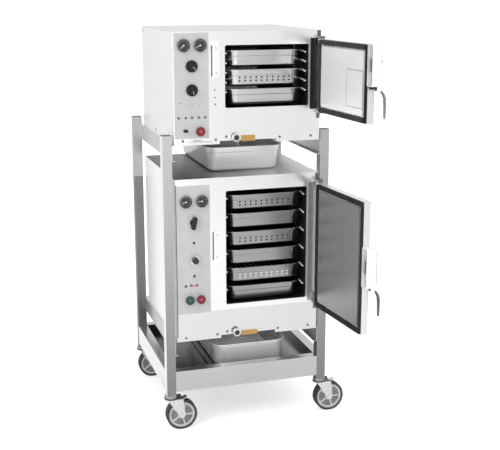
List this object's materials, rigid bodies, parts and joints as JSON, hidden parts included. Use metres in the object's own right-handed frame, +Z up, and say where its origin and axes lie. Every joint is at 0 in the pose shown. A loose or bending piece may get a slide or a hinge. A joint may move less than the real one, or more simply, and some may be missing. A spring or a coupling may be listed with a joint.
{
  "type": "convection steamer",
  "caption": "Two stacked steam cooking cabinets with swing doors, pans on wire racks and drip pans, in a square tube stand on swivel casters",
  "frame": {"origin": "floor level, at the centre of the stand's four posts", "axes": "+Z up, -Y the side with the doors, +X to the right as seen from the front"},
  "size_m": [0.7765, 1.1167, 1.602],
  "materials": {
    "stainless_sheet": "brushed stainless sheet",
    "cabinet_sheet": "satin stainless sheet",
    "control_plate": "light grey overlay",
    "caster_rubber": "grey hub with a black tread",
    "bright_metal": "bright plated steel",
    "black_plastic": "black moulding",
    "gasket_rubber": "dark soft seal",
    "red_plastic": "red moulding",
    "green_plastic": "green moulding",
    "cast_metal": "polished casting",
    "grey_plastic": "grey cast lever",
    "gauge_metal": "bezel round a pale dial"
  },
  "bodies": {
    "frame": {"stand_posts": "stainless_sheet", "stand_rails": "stainless_sheet", "bottom_tray": "stainless_sheet", "caster_mounts": "bright_metal", "upper_casing": "cabinet_sheet", "upper_front_panel": "stainless_sheet", "upper_cavity_liner": "stainless_sheet", "lower_casing": "cabinet_sheet", "lower_front_panel": "stainless_sheet", "lower_cavity_liner": "stainless_sheet", "cabinet_bases": "cabinet_sheet", "cabinet_backs": "cabinet_sheet", "control_overlays": "control_plate", "gauge_cases": "gauge_metal", "latch_strikes": "bright_metal", "hinge_brackets": "bright_metal", "pan_racks": "bright_metal"},
    "fork_front_left": {"caster_fork_front_left": "bright_metal"},
    "wheel_front_left": {"caster_wheel_front_left": "caster_rubber"},
    "pedal_front_left": {"brake_pedal_front_left": "black_plastic"},
    "fork_front_right": {"caster_fork_front_right": "bright_metal"},
    "wheel_front_right": {"caster_wheel_front_right": "caster_rubber"},
    "pedal_front_right": {"brake_pedal_front_right": "black_plastic"},
    "fork_rear_left": {"caster_fork_rear_left": "bright_metal"},
    "wheel_rear_left": {"caster_wheel_rear_left": "caster_rubber"},
    "fork_rear_right": {"caster_fork_rear_right": "bright_metal"},
    "wheel_rear_right": {"caster_wheel_rear_right": "caster_rubber"},
    "upper_timer_knob": {"upper_timer_knob": "black_plastic"},
    "upper_mode_knob": {"upper_mode_knob": "black_plastic"},
    "upper_power_switch": {"upper_power_switch": "black_plastic"},
    "upper_stop_button": {"upper_stop_button": "red_plastic"},
    "lower_selector_knob": {"lower_selector_knob": "black_plastic"},
    "lower_timer_knob": {"lower_timer_knob": "black_plastic"},
    "lower_start_button": {"lower_start_button": "green_plastic"},
    "lower_stop_button": {"lower_stop_button": "red_plastic"},
    "upper_drain_knob": {"upper_drain_knob": "black_plastic"},
    "lower_drain_knob": {"lower_drain_knob": "black_plastic"},
    "upper_pan_1": {"upper_pan_1": "stainless_sheet"},
    "upper_pan_2": {"upper_pan_2": "stainless_sheet"},
    "upper_pan_3": {"upper_pan_3": "stainless_sheet"},
    "lower_pan_1": {"lower_pan_1": "stainless_sheet"},
    "lower_pan_2": {"lower_pan_2": "stainless_sheet"},
    "lower_pan_3": {"lower_pan_3": "stainless_sheet"},
    "lower_pan_4": {"lower_pan_4": "stainless_sheet"},
    "lower_pan_5": {"lower_pan_5": "stainless_sheet"},
    "lower_pan_6": {"lower_pan_6": "stainless_sheet"},
    "upper_drip_pan": {"upper_drip_pan": "stainless_sheet"},
    "lower_drip_pan": {"lower_drip_pan": "stainless_sheet"},
    "upper_door": {"upper_door_shell": "stainless_sheet", "upper_door_liner": "stainless_sheet", "upper_door_gasket": "gasket_rubber", "upper_latch_case": "cast_metal"},
    "upper_handle": {"upper_latch_handle": "grey_plastic"},
    "upper_hook": {"upper_latch_hook": "bright_metal"},
    "lower_door": {"lower_door_shell": "stainless_sheet", "lower_door_liner": "stainless_sheet", "lower_door_gasket": "gasket_rubber", "lower_latch_case": "cast_metal"},
    "lower_handle": {"lower_latch_handle": "grey_plastic"},
    "lower_hook": {"lower_latch_hook": "bright_metal"}
  },
  "joints": [
    {"name": "swivel_front_left", "type": "hinge", "parent": "frame", "child": "fork_front_left", "pos_m": [-0.322, -0.296, 0.1317], "axis": [0, 0, 1], "continuous": true},
    {"name": "roll_front_left", "type": "hinge", "parent": "fork_front_left", "child": "wheel_front_left", "pos_m": [-0.28, -0.296, 0.0635], "axis": [0, 1, 0], "continuous": true},
    {"name": "brake_front_left", "type": "hinge", "parent": "fork_front_left", "child": "pedal_front_left", "pos_m": [-0.284, -0.296, 0.1342], "axis": [0, 1, 0], "range_deg": [0, 8]},
    {"name": "swivel_front_right", "type": "hinge", "parent": "frame", "child": "fork_front_right", "pos_m": [0.322, -0.296, 0.1317], "axis": [0, 0, 1], "continuous": true},
    {"name": "roll_front_right", "type": "hinge", "parent": "fork_front_right", "child": "wheel_front_right", "pos_m": [0.364, -0.296, 0.0635], "axis": [0, 1, 0], "continuous": true},
    {"name": "brake_front_right", "type": "hinge", "parent": "fork_front_right", "child": "pedal_front_right", "pos_m": [0.36, -0.296, 0.1342], "axis": [0, 1, 0], "range_deg": [0, 8]},
    {"name": "swivel_rear_left", "type": "hinge", "parent": "frame", "child": "fork_rear_left", "pos_m": [-0.322, 0.296, 0.1317], "axis": [0, 0, 1], "continuous": true},
    {"name": "roll_rear_left", "type": "hinge", "parent": "fork_rear_left", "child": "wheel_rear_left", "pos_m": [-0.28, 0.296, 0.0635], "axis": [0, 1, 0], "continuous": true},
    {"name": "swivel_rear_right", "type": "hinge", "parent": "frame", "child": "fork_rear_right", "pos_m": [0.322, 0.296, 0.1317], "axis": [0, 0, 1], "continuous": true},
    {"name": "roll_rear_right", "type": "hinge", "parent": "fork_rear_right", "child": "wheel_rear_right", "pos_m": [0.364, 0.296, 0.0635], "axis": [0, 1, 0], "continuous": true},
    {"name": "upper_timer_knob_joint", "type": "hinge", "parent": "frame", "child": "upper_timer_knob", "pos_m": [-0.223, -0.321, 1.474], "axis": [0, 1, 0], "range_deg": [-135, 165]},
    {"name": "upper_mode_knob_joint", "type": "hinge", "parent": "frame", "child": "upper_mode_knob", "pos_m": [-0.223, -0.321, 1.384], "axis": [0, 1, 0], "range_deg": [-165, 135]},
    {"name": "upper_power_switch_joint", "type": "hinge", "parent": "frame", "child": "upper_power_switch", "pos_m": [-0.25, -0.3262, 1.231], "axis": [0, 0, 1], "range_deg": [-12, 12]},
    {"name": "upper_stop_button_joint", "type": "slide", "parent": "frame", "child": "upper_stop_button", "axis": [0, 1, 0], "range_m": [0, 0.004], "stiffness_N_per_m": 300, "springref_m": -0.002},
    {"name": "lower_selector_knob_joint", "type": "hinge", "parent": "frame", "child": "lower_selector_knob", "pos_m": [-0.224, -0.321, 0.869], "axis": [0, 1, 0], "range_deg": [-42, 18]},
    {"name": "lower_timer_knob_joint", "type": "hinge", "parent": "frame", "child": "lower_timer_knob", "pos_m": [-0.221, -0.321, 0.718], "axis": [0, 1, 0], "range_deg": [0, 300]},
    {"name": "lower_start_button_joint", "type": "slide", "parent": "frame", "child": "lower_start_button", "axis": [0, 1, 0], "range_m": [0, 0.004], "stiffness_N_per_m": 300, "springref_m": -0.002},
    {"name": "lower_stop_button_joint", "type": "slide", "parent": "frame", "child": "lower_stop_button", "axis": [0, 1, 0], "range_m": [0, 0.004], "stiffness_N_per_m": 300, "springref_m": -0.002},
    {"name": "upper_drain_knob_joint", "type": "hinge", "parent": "frame", "child": "upper_drain_knob", "pos_m": [-0.053, -0.321, 1.199], "axis": [0, 1, 0], "range_deg": [0, 90]},
    {"name": "lower_drain_knob_joint", "type": "hinge", "parent": "frame", "child": "lower_drain_knob", "pos_m": [-0.053, -0.321, 0.4045], "axis": [0, 1, 0], "range_deg": [0, 90]},
    {"name": "upper_pan_1_slide", "type": "slide", "parent": "frame", "child": "upper_pan_1", "axis": [0, -1, 0], "range_m": [0, 0.56]},
    {"name": "upper_pan_2_slide", "type": "slide", "parent": "frame", "child": "upper_pan_2", "axis": [0, -1, 0], "range_m": [0, 0.56]},
    {"name": "upper_pan_3_slide", "type": "slide", "parent": "frame", "child": "upper_pan_3", "axis": [0, -1, 0], "range_m": [0, 0.56]},
    {"name": "lower_pan_1_slide", "type": "slide", "parent": "frame", "child": "lower_pan_1", "axis": [0, -1, 0], "range_m": [0, 0.56]},
    {"name": "lower_pan_2_slide", "type": "slide", "parent": "frame", "child": "lower_pan_2", "axis": [0, -1, 0], "range_m": [0, 0.56]},
    {"name": "lower_pan_3_slide", "type": "slide", "parent": "frame", "child": "lower_pan_3", "axis": [0, -1, 0], "range_m": [0, 0.56]},
    {"name": "lower_pan_4_slide", "type": "slide", "parent": "frame", "child": "lower_pan_4", "axis": [0, -1, 0], "range_m": [0, 0.56]},
    {"name": "lower_pan_5_slide", "type": "slide", "parent": "frame", "child": "lower_pan_5", "axis": [0, -1, 0], "range_m": [0, 0.56]},
    {"name": "lower_pan_6_slide", "type": "slide", "parent": "frame", "child": "lower_pan_6", "axis": [0, -1, 0], "range_m": [0, 0.56]},
    {"name": "upper_drip_pan_slide", "type": "slide", "parent": "frame", "child": "upper_drip_pan", "axis": [0, -1, 0], "range_m": [0, 0.56]},
    {"name": "lower_drip_pan_slide", "type": "slide", "parent": "frame", "child": "lower_drip_pan", "axis": [0, 0, 1], "range_m": [0, 0.04]},
    {"name": "upper_door_hinge", "type": "hinge", "parent": "frame", "child": "upper_door", "pos_m": [0.291, -0.354, 1.312], "axis": [0, 0, 1], "range_deg": [-95.6, 24.4]},
    {"name": "upper_handle_pull", "type": "hinge", "parent": "upper_door", "child": "upper_handle", "pos_m": [0.33507, -0.7727, 1.414], "axis": [0.0976, -0.9952, 0], "range_deg": [0, 28], "stiffness_Nm_per_rad": 0.5, "springref_deg": -22.92},
    {"name": "upper_hook_turn", "type": "hinge", "parent": "upper_door", "child": "upper_hook", "pos_m": [0.32871, -0.7693, 1.5], "axis": [0, 0, 1], "range_deg": [-20, 0]},
    {"name": "lower_door_hinge", "type": "hinge", "parent": "frame", "child": "lower_door", "pos_m": [0.291, -0.354, 0.521], "axis": [0, 0, 1], "range_deg": [-95.6, 24.4]},
    {"name": "lower_handle_pull", "type": "hinge", "parent": "lower_door", "child": "lower_handle", "pos_m": [0.33507, -0.7727, 0.678], "axis": [0.0976, -0.9952, 0], "range_deg": [0, 28], "stiffness_Nm_per_rad": 0.5, "springref_deg": -22.92},
    {"name": "lower_hook_turn", "type": "hinge", "parent": "lower_door", "child": "lower_hook", "pos_m": [0.32871, -0.7693, 0.765], "axis": [0, 0, 1], "range_deg": [-20, 0]}
  ],
  "couplings": [
    {"joint": "upper_hook_turn", "follows": "upper_handle_pull", "ratio": -0.71429},
    {"joint": "lower_hook_turn", "follows": "lower_handle_pull", "ratio": -0.71429}
  ]
}
